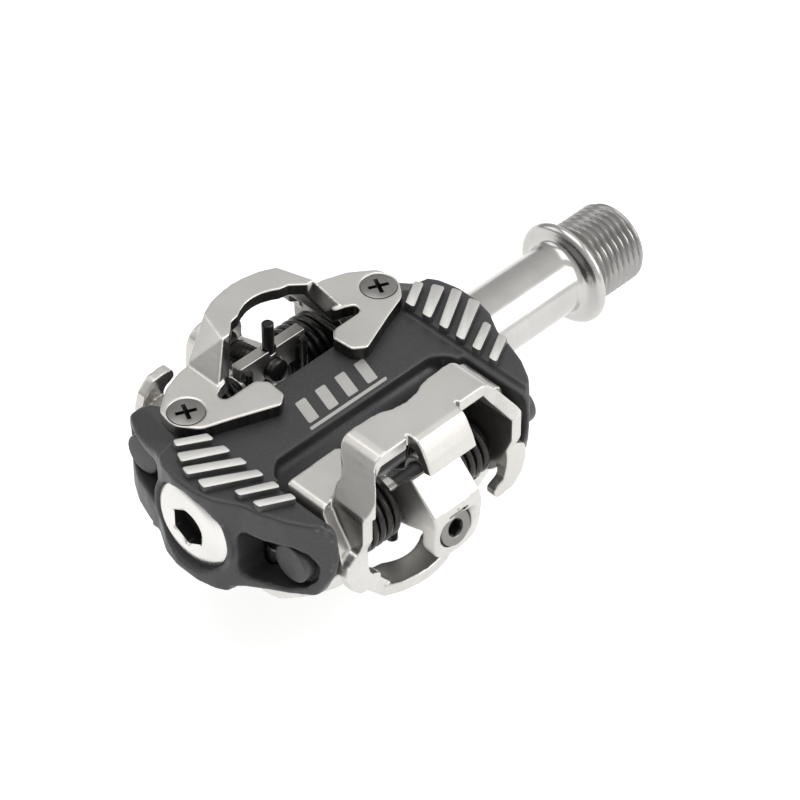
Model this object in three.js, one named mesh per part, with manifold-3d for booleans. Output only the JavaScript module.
// Double-sided clipless bicycle pedal, left-hand side, in millimetres.
// +X runs along the spindle towards the crank, +Y towards the front claw of the upper
// side, +Z up. The lower side is the upper side turned 180 degrees about X.
// Pieces are drawn about the spindle axis at the middle of the pedal body, with "right"
// meaning +X. place() then moves them so that the origin is the middle of the whole pedal.
import * as THREE from 'three';
import { mergeVertices } from 'three/addons/utils/BufferGeometryUtils.js';
import { ConvexGeometry } from 'three/addons/geometries/ConvexGeometry.js';
import Module from 'manifold-3d';

const wasm = await Module();
wasm.setup();

// ---------------------------------------------------------------- shared dimensions
const BODY_X = 30.7;            // half width of the pedal body
const LAND_Z = 8.7;             // half height of the body's middle
const THREAD_END = 65.6;        // crank end of the spindle
const ORIGIN_SHIFT = -(THREAD_END - BODY_X) / 2;
const FAR = 40;                 // reach of cuts that run out of a piece

const SCREW_X = 20.6;           // front claw screws
const SCREW_Y = 10.0;
const CLAW_Z0 = 8.76;           // underside of the front claw plate
const CLAW_Z1 = CLAW_Z0 + 2.4;  // top of the front claw plate

const PIVOT_Y = -16.6;          // hinge pin of the upper rear claw
const PIVOT_Z = 0;
const PIN_R = 2.0;

const BEARING_OR = 7.0;
const BUSH_OR = 7.0;
const BUSH_X0 = 8.0;
const BUSH_X1 = 23.0;

const BOLT_R = 1.95;            // tension bolt
const BOLT_TILT = 12 * Math.PI / 180;
const BOLT_ORIGIN = { y: -27.1, z: -1.9 }; // where distances along the bolt start

// ---------------------------------------------------------------- materials
const material = settings => new THREE.MeshStandardMaterial(settings);
const BODY = material({ color: 0x3a3a3c, roughness: 0.55, metalness: 0.25 });
const STEEL = material({ color: 0xc9c6bf, roughness: 0.32, metalness: 0.9 });
const POLISH = material({ color: 0xdcdad6, roughness: 0.18, metalness: 0.95 });
const SCREW = material({ color: 0x86857f, roughness: 0.4, metalness: 0.85 });
const BLACK = material({ color: 0x1c1b1b, roughness: 0.35, metalness: 0.7 });
const CAP = material({ color: 0xd8d5cf, roughness: 0.3, metalness: 0.85 });
const BRASS = material({ color: 0xb08a4a, roughness: 0.4, metalness: 0.8 });
const RACE = material({ color: 0x9fa2a5, roughness: 0.25, metalness: 0.95 });
const NYLON = material({ color: 0x1b1b1b, roughness: 0.6, metalness: 0.0 });
const RUBBER = material({ color: 0x161616, roughness: 0.8, metalness: 0.0 });
const NUT = material({ color: 0xa9a7a2, roughness: 0.4, metalness: 0.85 });

// ---------------------------------------------------------------- solid helpers
// Welds a closed geometry by position and drops the triangles that collapse.
function solid(geometry) {
  for (const name of Object.keys(geometry.attributes)) {
    if (name !== 'position') geometry.deleteAttribute(name);
  }
  const welded = mergeVertices(geometry, 1e-4);
  const index = welded.index.array;
  const triangles = [];
  for (let i = 0; i < index.length; i += 3) {
    const [a, b, c] = [index[i], index[i + 1], index[i + 2]];
    if (a !== b && b !== c && a !== c) triangles.push(a, b, c);
  }
  return new wasm.Manifold(new wasm.Mesh({
    numProp: 3,
    vertProperties: new Float32Array(welded.attributes.position.array),
    triVerts: new Uint32Array(triangles),
  }));
}

const union = parts => parts.reduce((sum, part) => sum.add(part));
const cut = (part, tools) => tools.reduce((rest, tool) => rest.subtract(tool), part);
const turned = part => part.rotate([180, 0, 0]);
const mirrorX = part => part.mirror([1, 0, 0]);
const leftRight = part => [part, mirrorX(part)];
const upperLower = part => [part, turned(part)];
const fourWays = part => [...leftRight(part), ...leftRight(part).map(turned)];

const shapeOf = points => new THREE.Shape(points.map(([x, y]) => new THREE.Vector2(x, y)));
const extrude = (points, depth) =>
  new THREE.ExtrudeGeometry(shapeOf(points), { depth, bevelEnabled: false });

// Prisms along each axis. Points are [x, y], [y, z] and [x, z] in turn.
const prismZ = (points, z0, z1) => solid(extrude(points, z1 - z0).translate(0, 0, z0));
const prismX = (points, x0, x1) => solid(extrude(points, x1 - x0)
  .applyMatrix4(new THREE.Matrix4().set(
    0, 0, 1, x0,
    1, 0, 0, 0,
    0, 1, 0, 0,
    0, 0, 0, 1)));
const prismY = (points, y0, y1) => solid(extrude(points.map(([x, z]) => [z, x]), y1 - y0)
  .applyMatrix4(new THREE.Matrix4().set(
    0, 1, 0, 0,
    0, 0, 1, y0,
    1, 0, 0, 0,
    0, 0, 0, 1)));
const box = (x0, x1, y0, y1, z0, z1) => solid(
  new THREE.BoxGeometry(x1 - x0, y1 - y0, z1 - z0)
    .translate((x0 + x1) / 2, (y0 + y1) / 2, (z0 + z1) / 2));
const hull = points => solid(new ConvexGeometry(points.map(p => new THREE.Vector3(...p))));

// Cylinders on the X and Z axes. endRadius, at the high end, makes them conical.
const cylinderX = (x0, x1, radius, segments = 28, endRadius = radius) => solid(
  new THREE.CylinderGeometry(endRadius, radius, x1 - x0, segments)
    .rotateZ(-Math.PI / 2).translate((x0 + x1) / 2, 0, 0));
const cylinderZ = (z0, z1, radius, segments = 20, endRadius = radius) => solid(
  new THREE.CylinderGeometry(endRadius, radius, z1 - z0, segments)
    .rotateX(Math.PI / 2).translate(0, 0, (z0 + z1) / 2));
// The same on the hinge pin's axis and on the right-hand claw screw's axis.
const hingeCylinder = (...size) => cylinderX(...size).translate([0, PIVOT_Y, PIVOT_Z]);
const screwCylinder = (...size) => cylinderZ(...size).translate([SCREW_X, SCREW_Y, 0]);
const pinBore = clearance => hingeCylinder(-FAR, FAR, PIN_R + clearance, 24);
// Cylinder on the bolt's axis; distances run inwards from BOLT_ORIGIN.
const alongBolt = (start, end, radius, segments = 28, endRadius = radius) => solid(
  new THREE.CylinderGeometry(endRadius, radius, end - start, segments)
    .translate(0, (start + end) / 2, 0)
    .rotateX(-BOLT_TILT)
    .translate(0, BOLT_ORIGIN.y, BOLT_ORIGIN.z));

const ringX = (x0, x1, inner, outer, segments = 28) =>
  cylinderX(x0, x1, outer, segments).subtract(cylinderX(x0 - 1, x1 + 1, inner, segments));
// Revolved about X; the profile is [x, radius] from low x to high x, closed on the axis.
const latheX = (profile, segments = 28) => solid(
  new THREE.LatheGeometry(profile.map(([x, radius]) => new THREE.Vector2(radius, x)), segments)
    .rotateZ(-Math.PI / 2));
const hexRadius = acrossFlats => acrossFlats / Math.sqrt(3);

// ---------------------------------------------------------------- outline helpers
// Arc round the hinge axis, as [y, z] points; angles in degrees.
const hingeArc = (radius, start, end, steps) => Array.from({ length: steps + 1 }, (_, i) => {
  const angle = (start + (end - start) * i / steps) * Math.PI / 180;
  return [PIVOT_Y + radius * Math.cos(angle), PIVOT_Z + radius * Math.sin(angle)];
});
// Completes a half outline by its mirror image in the first coordinate.
const mirrored = points => [
  ...points,
  ...points.filter(([x]) => x !== 0).map(([x, y]) => [-x, y]).reverse(),
];
// Completes a half outline by the same half turned through 180 degrees.
const withHalfTurn = points => [...points, ...points.map(([y, z]) => [-y, -z])];

// Rounds the corners of a polygon. A third number in a point overrides the radius.
function rounded(points, radius, steps) {
  const out = [];
  points.forEach(([x, y, cornerRadius = radius], i) => {
    const corner = new THREE.Vector2(x, y);
    const [before, after] = [points.at(i - 1), points[(i + 1) % points.length]]
      .map(p => new THREE.Vector2(p[0], p[1]).sub(corner));
    const setback = Math.min(
      cornerRadius / Math.tan(before.angleTo(after) / 2),
      before.length() * 0.48,
      after.length() * 0.48);
    if (setback < 0.05) {
      out.push([x, y]);
      return;
    }
    const start = before.setLength(setback).add(corner);
    const end = after.setLength(setback).add(corner);
    const curve = new THREE.QuadraticBezierCurve(start, corner, end);
    out.push(...curve.getPoints(steps).map(p => [p.x, p.y]));
  });
  // points that nearly touch the next one are dropped
  return out.filter(([x, y], i) => {
    const [nextX, nextY] = out[(i + 1) % out.length];
    return Math.hypot(x - nextX, y - nextY) > 0.02;
  });
}

// ---------------------------------------------------------------- placing
const group = new THREE.Group();

function place(name, part, finish) {
  const { vertProperties, triVerts } = part.translate([ORIGIN_SHIFT, 0, 0]).getMesh();
  const geometry = new THREE.BufferGeometry();
  geometry.setAttribute('position',
    new THREE.BufferAttribute(new Float32Array(vertProperties), 3));
  geometry.setIndex(new THREE.BufferAttribute(new Uint32Array(triVerts), 1));
  const mesh = new THREE.Mesh(geometry, finish);
  mesh.name = name;
  group.add(mesh);
}

function placeTopBottom(name, part, finish) {
  place(`top_${name}`, part, finish);
  place(`bottom_${name}`, turned(part), finish);
}

function placeFour(name, right, finish, left = mirrorX(right)) {
  place(`top_${name}_right`, right, finish);
  place(`top_${name}_left`, left, finish);
  place(`bottom_${name}_right`, turned(right), finish);
  place(`bottom_${name}_left`, turned(left), finish);
}

// ---------------------------------------------------------------- pedal body
const PAD_Z = 9.6;              // floor of the traction pads
const BAR_Z = 10.7;             // top of the traction bars
const BAY_X = 20.2;             // half width of the bays between the walls
const BAY_Y = -8.81;            // front of the upper rear claw's bay
const BARREL_R = 8.6;           // spindle barrel beyond the walls' inner faces
const MIDDLE_X = BAY_X + 0.6;   // the middle block runs into the walls

// Half of the walls' side view, [y, z].
const WALL_SIDE = [
  [-17.0, -LAND_Z], [-19.0, -6.6], [-20.6, -5.2], [-22.5, -1.0], [-23.4, 3.2],
  [-22.8, 7.4], [-21.0, PAD_Z], [12.6, PAD_Z],
];
// Front half of the right wall's plan, [x, y].
const WALL_PLAN = [
  [19.0, 23.6], [20.4, 23.4], [23.4, 20.2], [25.4, 16.8], [26.8, 12.8], [27.6, 9.6],
  [29.9, 5.6], [BODY_X, 2.2],
];
// Front claw seat in plan, [x, y].
const SEAT = [[10, 5.6], [21.2, 3.6], [25.6, 8.2], [26.0, 12.4], [24.0, 30], [10, 30]];
// Corners of the cut that slopes the outer flank by the seat, [x, y, z].
const FLANK = [
  [24.6, 8.2, LAND_Z], [32, 6.6, 8.4], [32, 14.5, 5.4], [26.6, 14.5, 5.9],
  [24.0, 13.0, LAND_Z], [19, 17.2, LAND_Z], [19, 26, 4.4], [32, 26, 4.4],
  [24.6, 8.2, 16], [32, 6.6, 16], [32, 26, 16], [19, 26, 16], [19, 17.2, 16], [24, 13, 16],
];
// Pocket round the hinge pin's end, [y, z].
const POCKET = [
  [-8.4, -5.6], [-8.9, -1.5], [-8.7, 2.2], [-9.3, 4.0], [-13.5, 3.9], [-17.4, 4.4],
  [-19.8, 3.3], [-21.0, 1.0], [-20.8, -1.6], [-19.2, -3.6], [-16.6, -4.6], [-13.0, -5.0],
];
const POCKET_X = 22.2;
// Half of the middle block's section, [y, z], with the trough in front of the rear claw.
const MIDDLE = [
  [-5.4, LAND_Z], [-5.4, 4.4], [-7.9, 3.2], [-8.8, 0.4], [-8.3, -5.6], [-6.8, -LAND_Z],
];
// Web that fills the end of the trough beside the wall, [x, y].
const WEB = [
  [15.8, -5.2], [MIDDLE_X, -5.2], [MIDDLE_X, -9.0], [19.4, -9.0], [18.6, -7.4], [17.4, -6.2],
];
// Slanting traction bars, [x, y]: inner end front and rear, outer end rear and front.
const BARS = [
  [[21.2, 4.7], [21.2, 2.7], [26.6, 5.8], [25.9, 7.3]],
  [[21.2, 0.95], [21.2, -1.0], [28.3, 2.8], [27.4, 4.8]],
  [[21.2, -2.75], [21.2, -4.7], [29.5, 0.1], [29.0, 2.0]],
  [[21.2, -6.4], [21.2, -8.3], [29.7, -3.7], [29.2, -1.6]],
  [[21.2, -9.95], [21.2, -11.8], [27.0, -8.7], [26.9, -7.1]],
  [[21.2, -13.6], [21.2, -15.3], [26.6, -12.5], [26.6, -10.7]],
];
// Spindle bore, [x, radius]: cap counterbore, bearing seat, clearance, bush and seal seats.
const BEARING_SEAT_R = BEARING_OR + 0.08;
const BUSH_SEAT_R = BUSH_OR + 0.04;
const BORE = [
  [-FAR, 0], [-FAR, 7.75], [-28.55, 7.75], [-28.55, BEARING_SEAT_R],
  [-14.9, BEARING_SEAT_R], [-14.9, 6.3], [BUSH_X0 - 0.3, 6.3], [BUSH_X0 - 0.3, BUSH_SEAT_R],
  [BUSH_X1 + 0.3, BUSH_SEAT_R], [BUSH_X1 + 0.3, 7.9], [FAR, 7.9], [FAR, 0],
];

function rightWall() {
  const rearHalf = WALL_PLAN.map(([x, y]) => [x, -y]).reverse();
  const plan = rounded([...WALL_PLAN, ...rearHalf], 1.2, 1);
  const wall = prismZ(plan, -FAR, FAR).intersect(prismX(withHalfTurn(WALL_SIDE), 0, FAR));
  const cuts = [
    prismZ(SEAT, LAND_Z, FAR),
    hull(FLANK),
    box(10, 21.3, -FAR, 4, LAND_Z, FAR), // inner strip beside the bay, level with the land
    prismX(rounded(POCKET, 1.4, 2), POCKET_X, FAR),
  ];
  return cut(wall, cuts.flatMap(upperLower));
}

function pedalBody() {
  const middle = prismX(withHalfTurn(MIDDLE), -MIDDLE_X, MIDDLE_X);
  const barrel = union([
    cylinderX(-29.4, -24.5, BARREL_R, 32),
    cylinderX(24.5, 29.0, BARREL_R, 32),
    cylinderX(-25, 25, LAND_Z, 32),
  ]);
  const bay = box(-BAY_X, BAY_X, -FAR, BAY_Y, -FAR, FAR);
  const web = prismZ(WEB, 0, LAND_Z);
  const bars = BARS.map(bar => prismZ(rounded(bar, 0.5, 1), PAD_Z - 1.2, BAR_Z));
  let body = union([middle, barrel, ...leftRight(rightWall())]);
  body = cut(body, upperLower(bay));
  body = union([body, ...fourWays(web), ...bars.flatMap(fourWays)]);
  return cut(body, [
    latheX(BORE),
    ...fourWays(screwCylinder(1.5, FAR, 2.15)),
    ...upperLower(pinBore(0.06)),
  ]);
}
place('pedal_body', pedalBody(), BODY);

// ---------------------------------------------------------------- spindle
const TUBE_R = 6.0;             // shaft between body and flange
const JOURNAL_R = 5.98;         // running surface in the plain bush
const BEARING_JOURNAL_R = 3.97;
const FLANGE_X = 53.8;          // crank-side face of the flange
const FLANGE_R = 9.1;
const THREAD_R = 7.13;          // 9/16 in thread
const THREAD_ROOT_R = 6.45;
const THREAD_PITCH = 25.4 / 20; // 20 threads per inch
// [x, radius] from the outer end to the start of the thread.
const SPINDLE = [
  [-26.4, 0], [-26.4, 3.2], [-26.1, 3.45], [-23.9, 3.45], [-23.9, BEARING_JOURNAL_R],
  [-15.0, BEARING_JOURNAL_R], [-15.0, 5.0], [7.0, 5.6], [BUSH_X0, JOURNAL_R],
  [BUSH_X1, JOURNAL_R], [24.0, TUBE_R], [51.0, TUBE_R], [51.6, 6.25], [52.0, 6.9],
  [52.2, 7.9], [52.7, 8.8], [53.2, FLANGE_R], [FLANGE_X, FLANGE_R], [FLANGE_X, 7.2],
  [54.5, 7.2], [54.75, THREAD_ROOT_R],
];

// The thread is a row of rings, with a hex socket in its end.
function spindle() {
  const profile = [...SPINDLE];
  for (let x = 54.9; x < THREAD_END - 1.2; x += THREAD_PITCH) {
    profile.push([x, THREAD_ROOT_R], [x + THREAD_PITCH / 2, THREAD_R]);
  }
  profile.push([THREAD_END - 0.4, THREAD_ROOT_R], [THREAD_END, 6.1], [THREAD_END, 0]);
  return latheX(profile, 24)
    .subtract(cylinderX(THREAD_END - 9, THREAD_END + 2, hexRadius(8), 6));
}
place('spindle', spindle(), POLISH);

// ---------------------------------------------------------------- bearings, seal, end cap
const BEARING_IR = 4.0;
const BEARING_W = 4.0;
const BEARINGS = { outer: -21.4, inner: -17.2 }; // x of the centres
const BALLS = 8;
const BALL_R = 0.95;
const BALL_PITCH_R = (BEARING_OR + BEARING_IR) / 2;
const RACE_GAP = 0.55;          // from the pitch circle to either race
const CAGE_T = 0.4;
const CAGE_W = 1.2;
const BUSH_IR = 6.05;
const CAP_X = -30.3;            // outer face of the domed end cap
const CAP_R = 7.5;
// [x, radius]
const SEAL_PROFILE = [[23.5, 0], [23.5, 7.8], [28.6, 7.8], [28.9, 7.2], [28.9, 0]];
const CAP_PROFILE = [
  [CAP_X, 0], [CAP_X, 4.6], [-30.2, 5.2], [-29.9, 6.0], [-29.45, 6.75], [-29.0, 7.3],
  [-28.85, CAP_R], [-28.7, CAP_R], [-28.7, 7.0], [-27.0, 7.0], [-27.0, 0],
];

// Eight balls joined by a thin cage ring.
function bearingBalls(centreX) {
  const cage = ringX(centreX - CAGE_W / 2, centreX + CAGE_W / 2,
    BALL_PITCH_R - CAGE_T / 2, BALL_PITCH_R + CAGE_T / 2, 16);
  const balls = Array.from({ length: BALLS }, (_, i) => {
    const angle = 2 * Math.PI * i / BALLS;
    return solid(new THREE.OctahedronGeometry(BALL_R, 1)
      .translate(centreX, BALL_PITCH_R * Math.cos(angle), BALL_PITCH_R * Math.sin(angle)));
  });
  return union([cage, ...balls]);
}

for (const [name, centreX] of Object.entries(BEARINGS)) {
  const x0 = centreX - BEARING_W / 2;
  const x1 = centreX + BEARING_W / 2;
  const groove = solid(new THREE.TorusGeometry(BALL_PITCH_R, BALL_R + 0.2, 8, 24)
    .rotateY(Math.PI / 2).translate(centreX, 0, 0));
  const outerRace = ringX(x0, x1, BALL_PITCH_R + RACE_GAP, BEARING_OR);
  const innerRace = ringX(x0, x1, BEARING_IR + 0.05, BALL_PITCH_R - RACE_GAP);
  place(`${name}_bearing_outer_race`, outerRace.subtract(groove), RACE);
  place(`${name}_bearing_inner_race`, innerRace.subtract(groove), RACE);
  place(`${name}_bearing_balls`, bearingBalls(centreX), RACE);
}

place('plain_bush', ringX(BUSH_X0, BUSH_X1, BUSH_IR, BUSH_OR), BRASS);
const seal = latheX(SEAL_PROFILE).subtract(cylinderX(-FAR, FAR, TUBE_R + 0.12));
place('spindle_seal', seal, RUBBER);
place('lock_washer', ringX(-23.85, -23.45, 4.05, 5.4, 24), RACE);
const lockNut = cylinderX(-26.3, -23.95, 5.8, 6).subtract(cylinderX(-30, -20, 3.5));
place('spindle_lock_nut', lockNut, RACE);
const endCap = latheX(CAP_PROFILE, 36)
  .subtract(cylinderX(CAP_X - 2, -27.6, hexRadius(6), 6));
place('end_cap', endCap, CAP);

// ---------------------------------------------------------------- front claw
const ARCH_Z = 17.0;            // top of the arch
const ARCH_Z0 = ARCH_Z - 2.2;   // underside of the arch
const SCREW_R = 1.9;
const SCREW_HEAD_R = 3.0;
const SINK_R = SCREW_HEAD_R + 0.08;
// Right foot plate in plan, [x, y, corner radius].
const FOOT = [
  [7.2, 2.4, 1.0], [9.2, 0.9, 1.0], [16.8, 3.9, 4], [21.6, 5.6, 3.0], [24.2, 9.2, 3.2],
  [23.4, 13.0, 2.2], [19.4, 16.0, 2.0], [15.4, 17.4, 2.0], [11.6, 17.8, 0.4],
  [11.6, 10.7, 0.4], [13.2, 10.2, 0.8], [14.8, 9.4, 0.9], [14.6, 7.9, 0.9],
  [13.2, 7.7, 0.6], [8.4, 7.7, 1.0], [6.9, 6.2, 1.0],
];
// Corners of the arm that rises from the foot to the arch, [x, y, z].
const ARM = [
  [13.3, 10.7, CLAW_Z1], [13.3, 17.8, CLAW_Z1], [11.2, 10.7, CLAW_Z0], [11.2, 17.8, CLAW_Z0],
  [9.7, 13.3, ARCH_Z], [7.6, 19.8, ARCH_Z], [8.0, 13.3, ARCH_Z0], [6.2, 19.8, ARCH_Z0],
];
// Right half of the arch in plan, [x, y]: rear edge outwards, then front edge back.
const ARCH = [
  [0, 17.1], [1.6, 16.9], [3.2, 16.3], [4.4, 15.6], [6.0, 15.3], [8.2, 13.3],
  [9.7, 13.3], [7.6, 19.8], [5.0, 21.0], [2.2, 21.6], [0, 21.8],
];

function frontClaw() {
  const foot = prismZ(rounded(FOOT, 1, 3), CLAW_Z0, CLAW_Z1);
  const arch = prismZ(mirrored(ARCH), ARCH_Z0, ARCH_Z);
  const countersink = union([
    screwCylinder(CLAW_Z0 - 0.05, CLAW_Z1, 2.05, 24, SINK_R),
    screwCylinder(CLAW_Z1 - 0.001, CLAW_Z1 + 1, SINK_R, 24),
  ]);
  const claw = union([...leftRight(foot), ...leftRight(hull(ARM)), arch]);
  return cut(claw, leftRight(countersink));
}
placeTopBottom('front_claw', frontClaw(), STEEL);

// Countersunk screw with a cross recess.
function clawScrew() {
  const screw = union([
    screwCylinder(2.8, CLAW_Z0 + 0.05, SCREW_R),
    screwCylinder(CLAW_Z0, CLAW_Z1 - 0.02, SCREW_R, 24, SCREW_HEAD_R),
  ]);
  const slots = [65, 155].map(angle => box(-1.75, 1.75, -0.36, 0.36, -1.2, 1)
    .rotate([0, 0, angle])
    .translate([SCREW_X, SCREW_Y, CLAW_Z1]));
  return cut(screw, slots);
}
// The left screw is a shifted copy, so that its recess keeps the same angle.
const screw = clawScrew();
placeFour('claw_screw', screw, SCREW, screw.translate([-2 * SCREW_X, 0, 0]));

// ---------------------------------------------------------------- rear claw
const JAW_Z1 = 17.3;            // top of the jaw
const JAW_Z0 = JAW_Z1 - 2.3;
const WALL_X = 17.0;            // outer faces of the side walls
const WALL_INNER_X = WALL_X - 2.0;
const SHELF_X = 19.3;           // outer faces of the knuckle plates
const SHELF_Z = 9.3;
const LIP_X = 4.9;
// Pressed channel's section, [x, z]: the outer skin's right half, then the whole inner skin.
const CHANNEL_OUTER = [
  [WALL_INNER_X, -6.3], [WALL_X, -6.3], [WALL_X, 8.9], [16.75, 9.8], [12.9, 15.6],
  [12.0, 16.6], [11.0, 17.15], [9.7, JAW_Z1],
];
const CHANNEL_INNER = [
  [-WALL_INNER_X, 8.5], [-10.87, JAW_Z0], [10.87, JAW_Z0], [WALL_INNER_X, 8.5],
];
// Right half of the jaw and shoulders in plan, [x, y], with a notch beside the lip.
const JAW = [
  [0, -16.7], [2.8, -16.3], [4.2, -15.6], [6.1, -15.3], [11.3, -15.1], [12.3, -15.3],
  [13.4, -16.4], [14.2, -17.7], [17.3, -18.0], [17.3, -24.6], [16.2, -25.3], [15.1, -25.5],
  [14.1, -24.6], [12.7, -22.9], [12.0, -22.5], [5.6, -22.5], [5.5, -21.9], [4.9, -21.9],
  [4.9, -22.8],
];
// Side walls, [y, z].
const WALLS = [
  [-11.2, 9.05], [-24.8, 9.05], [-24.8, 4.2], ...hingeArc(6.1, 206, 352, 12), [-10.8, 4.0],
];
// Lip bent down from the jaw's rear edge, [y, z].
const LIP = [
  [-22.0, JAW_Z1], [-23.1, JAW_Z1], [-24.0, 17.05], [-24.7, 16.4], [-25.3, 15.4],
  [-26.2, 13.8], [-27.0, 11.8], [-25.4, 11.4], [-24.4, 13.2], [-23.6, 14.6],
  [-22.9, 15.0], [-22.0, 15.0],
];
// Shelf in front of the shoulder: section [x, z] and plan [x, y].
const SHELF_SECTION = [
  [8.3, 9.5], [13.1, 9.45], [18.2, SHELF_Z], [19.0, 8.9], [SHELF_X, 8.1], [SHELF_X, 6.6],
  [17.0, 6.6], [16.4, 7.3], [8.3, 7.5],
];
const SHELF_PLAN = [
  [8.3, -13.4], [9.2, -14.4], [11.6, -15.4], [13.8, -16.3], [16.9, -18.1],
  [SHELF_X, -18.5], [SHELF_X, -10.9], [18.9, -10.5], [8.9, -10.5], [8.3, -11.0],
];
// Outer knuckle plate below the shelf, [y, z].
const KNUCKLE = [
  [-10.6, 8.0], [-10.6, 3.6], ...hingeArc(5.8, 5, -218, 14), [-19.4, 6.2], [-18.5, 8.0],
];
// Hooked tab at the foot of the wall, facing the rear, [x, z].
const TAB = [
  [15.1, 1.8], [17.4, 1.8], [19.1, 0.6], [19.4, -2.0], [18.6, -4.8], [16.6, -6.9],
  [12.8, -7.2], [12.1, -5.2], [14.4, -4.2], [15.0, -2.0],
];

function rearClaw() {
  const channel = prismY([...mirrored(CHANNEL_OUTER), ...CHANNEL_INNER], -26.2, -10.2);
  const jawMask = prismZ(mirrored(JAW), 9.0, JAW_Z1 + 1);
  const wallMask = prismX(WALLS, -WALL_X - 1, WALL_X + 1);
  const shelf = prismY(SHELF_SECTION, -19, -10).intersect(prismZ(SHELF_PLAN, 5, 12));
  return union([
    ...leftRight(prismY(rounded(TAB, 1.0, 2), -23.9, -22.0)),
    channel.intersect(jawMask.add(wallMask)),
    prismX(LIP, -LIP_X, LIP_X),
    ...leftRight(shelf),
    ...leftRight(prismX(KNUCKLE, WALL_X - 0.1, SHELF_X)),
  ]).subtract(pinBore(0.08));
}
placeTopBottom('rear_claw', rearClaw(), STEEL);

// ---------------------------------------------------------------- tension bracket
const BRACKET_X = 4.9;          // half width
// Seat plate, [y, z]: outer face downwards, then inner face upwards.
const SEAT_PLATE = [
  [-22.6, 8.3], [-26.9, 4.1], [-27.7, 3.1], [-28.15, 2.0], [-28.25, 0.8], [-27.6, -6.7],
  [-24.9, -6.5], [-25.3, 0.4], [-25.2, 1.5], [-24.7, 2.8], [-21.4, 6.6],
];
// Seat plate seen from the rear, [x, z, corner radius].
const SEAT_MASK = [
  [-BRACKET_X, 12], [BRACKET_X, 12], [BRACKET_X, -6.6, 4.2], [-BRACKET_X, -6.6, 4.2],
];
// Side flange round the hinge pin, [y, z].
const FLANGE = [
  [-22.6, 8.3], [-27.7, 3.3], [-27.6, 0.0], [-22.0, -2.0], [-18.4, -2.9],
  ...hingeArc(3.3, -120, 120, 12), [-20.6, 6.4],
];

function tensionBracket() {
  const plate = prismX(SEAT_PLATE, -BRACKET_X, BRACKET_X)
    .intersect(prismY(rounded(SEAT_MASK, 0.1, 5), -32, -18));
  const flange = prismX(FLANGE, 3.0, BRACKET_X);
  return cut(union([plate, ...leftRight(flange)]), [
    alongBolt(-4, 0.57, 3.3),            // head counterbore
    alongBolt(-1.7, 0.0, 4.4, 28, 3.25), // flare at its mouth
    alongBolt(0.3, 6, BOLT_R + 0.15),
    pinBore(0.08),
  ]);
}
placeTopBottom('tension_bracket', tensionBracket(), STEEL);

// ---------------------------------------------------------------- tension bolt, clip, nut
const BOLT_LENGTH = 16.4;
const NUT_Y0 = -14.7;
const NUT_Y1 = -12.65;
const NUT_Y = (NUT_Y0 + NUT_Y1) / 2;

// Bolt with a hex socket in its head and a groove for the clip.
function tensionBolt() {
  const blank = union([alongBolt(-0.45, 0.55, 3.12), alongBolt(0.2, BOLT_LENGTH, BOLT_R, 20)]);
  const socket = alongBolt(-3, 1.6, hexRadius(2.5), 6);
  const groove = alongBolt(2.95, 3.55, 3, 20).subtract(alongBolt(2.6, 3.8, 1.55, 20));
  return cut(blank, [socket, groove]);
}
placeTopBottom('tension_bolt', tensionBolt(), SCREW);

// Ring in the bolt's groove, open at the bottom.
const clip = cut(alongBolt(3.0, 3.5, 2.7, 24), [
  alongBolt(2.6, 3.9, 1.65, 24),
  box(-0.8, 0.8, -30, -20, -30, -3.4),
]);
placeTopBottom('bolt_clip', clip, BLACK);

// Block with an ear at each side, drilled from below for the nut pin.
const tensionNut = cut(
  union([
    box(-4.9, 4.9, NUT_Y0, NUT_Y1, -9.0, -3.75),
    box(-6.9, 6.9, NUT_Y0, NUT_Y1, -9.0, -6.2),
  ]),
  [
    alongBolt(6, 22, BOLT_R + 0.05, 20),
    cylinderZ(-12, -7.9, 1.17).translate([0, NUT_Y, 0]),
  ]);
placeTopBottom('tension_nut', tensionNut, NUT);
placeTopBottom('nut_pin', cylinderZ(-13.9, -7.95, 1.0).translate([0, NUT_Y, 0]), BLACK);

// ---------------------------------------------------------------- hinge pin, spring sleeves
const STUB_R = PIN_R - 0.5;     // pin end inside the collar
const hingePin = union([
  hingeCylinder(-24.4, 22.2, PIN_R, 24),
  hingeCylinder(-24.4, -22.26, 3.4), // head, at the left
  hingeCylinder(22.1, 24.1, STUB_R, 20),
]);
const collar = union([
  hingeCylinder(22.26, 25.8, 3.2),
  hingeCylinder(25.7, 26.2, 3.2, 28, 2.8),
]).subtract(hingeCylinder(21, 24.15, STUB_R + 0.06, 20));
placeTopBottom('hinge_pin', hingePin, BODY);
placeTopBottom('hinge_pin_collar', collar, BODY);
placeFour('spring_sleeve', hingeCylinder(5.1, 14.6, 3.3).subtract(pinBore(0.1)), NYLON);

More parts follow.
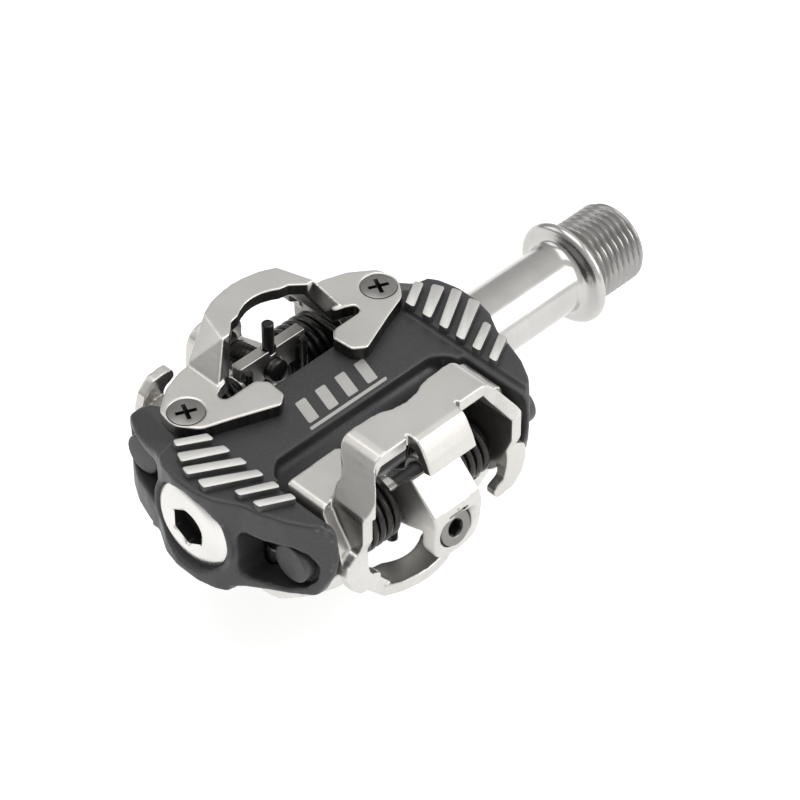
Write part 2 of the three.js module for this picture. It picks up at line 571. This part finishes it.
// ---------------------------------------------------------------- torsion springs
const SPRING_R = 4.75;          // coil, to the middle of the wire
const SPRING_X0 = 5.8;
const SPRING_X1 = 13.2;
const SPRING_TURNS = 4.75;
const COIL_STEPS = 66;
const NUT_LEG_Z = -8.2;         // lower end of the leg at the nut
const BODY_LEG = 7.95;          // length of the leg towards the body
const WIRE_R = 0.67;
const WIRE_SIDES = 6;

// Straight lines through the points, each taking an equal share of t.
class Polyline extends THREE.Curve {
  constructor(points) {
    super();
    this.points = points;
  }

  getPoint(t, target = new THREE.Vector3()) {
    const last = this.points.length - 1;
    const along = Math.min(last - 1e-9, t * last);
    const i = Math.floor(along);
    return target.copy(this.points[i]).lerp(this.points[i + 1], along - i);
  }
}

// A leg up the front of the nut's ear, nearly five turns round the sleeve, and a leg
// forwards from the bottom of the coil to the body's rear face.
function springPath() {
  const points = [NUT_LEG_Z, NUT_LEG_Z / 2]
    .map(z => new THREE.Vector3(SPRING_X0, PIVOT_Y + SPRING_R, z));
  for (let i = 0; i <= COIL_STEPS; i++) {
    const angle = i / COIL_STEPS * SPRING_TURNS * 2 * Math.PI; // 0 is forwards, then up
    points.push(new THREE.Vector3(
      SPRING_X0 + (SPRING_X1 - SPRING_X0) * i / COIL_STEPS,
      PIVOT_Y + SPRING_R * Math.cos(angle),
      PIVOT_Z + SPRING_R * Math.sin(angle)));
  }
  for (const y of [BODY_LEG / 2, BODY_LEG]) {
    points.push(new THREE.Vector3(SPRING_X1, PIVOT_Y + y, PIVOT_Z - SPRING_R));
  }
  return points;
}

function torsionSpring() {
  const path = springPath();
  const section = Array.from({ length: WIRE_SIDES }, (_, i) => {
    const angle = 2 * Math.PI * i / WIRE_SIDES;
    return [WIRE_R * Math.cos(angle), WIRE_R * Math.sin(angle)];
  });
  return solid(new THREE.ExtrudeGeometry(shapeOf(section), {
    steps: path.length - 1,
    extrudePath: new Polyline(path),
    bevelEnabled: false,
  }));
}
placeFour('spring', torsionSpring(), BLACK);

export default group;
